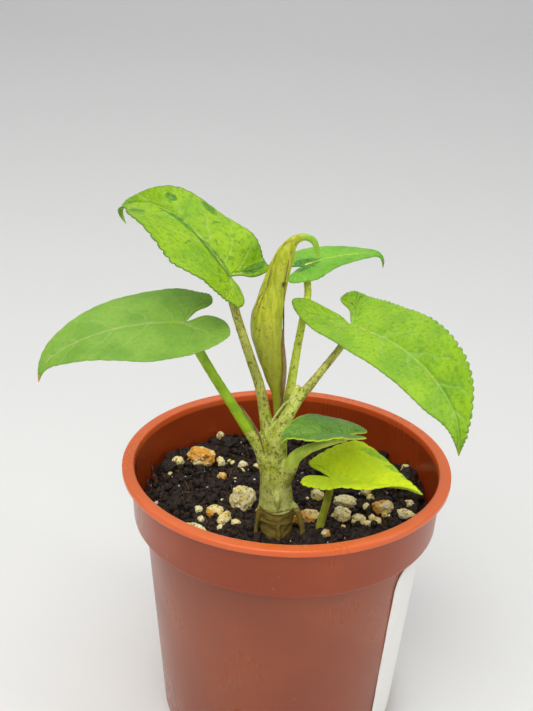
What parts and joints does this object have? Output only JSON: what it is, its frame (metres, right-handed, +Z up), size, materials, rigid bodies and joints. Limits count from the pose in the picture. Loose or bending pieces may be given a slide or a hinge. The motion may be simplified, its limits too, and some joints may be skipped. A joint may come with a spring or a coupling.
{
  "type": "potted alocasia lauterbachiana",
  "caption": "Young aroid house plant with broad heart-shaped mint-speckled leaves and a furled new leaf, growing from a corm in soil with pumice in a small round plastic nursery pot.",
  "frame": {"origin": "centre of the pot's flat bottom, on the surface it stands on", "axes": "+Z up along the pot's axis, -Y towards the side that the plant is seen from, +X to that viewer's right, where the label is"},
  "size_m": [0.082, 0.0746, 0.1204],
  "materials": {
    "terracotta_plastic": "satin",
    "label_paper": "matte",
    "potting_mix": "rough",
    "stem_flesh": "satin",
    "leaf_lime": "satin",
    "leaf_green": "satin",
    "leaf_dark": "satin",
    "leaf_yellow": "satin",
    "leaf_olive": "satin"
  },
  "bodies": {
    "root": {"pot": "terracotta_plastic", "label": "label_paper", "soil": "potting_mix", "stem": "stem_flesh", "leaf_upper_left": "leaf_lime", "leaf_left": "leaf_green", "leaf_back": "leaf_green", "leaf_right": "leaf_lime", "leaf_low": "leaf_dark", "leaf_young": "leaf_yellow", "leaf_furled": "leaf_olive"}
  },
  "joints": []
}
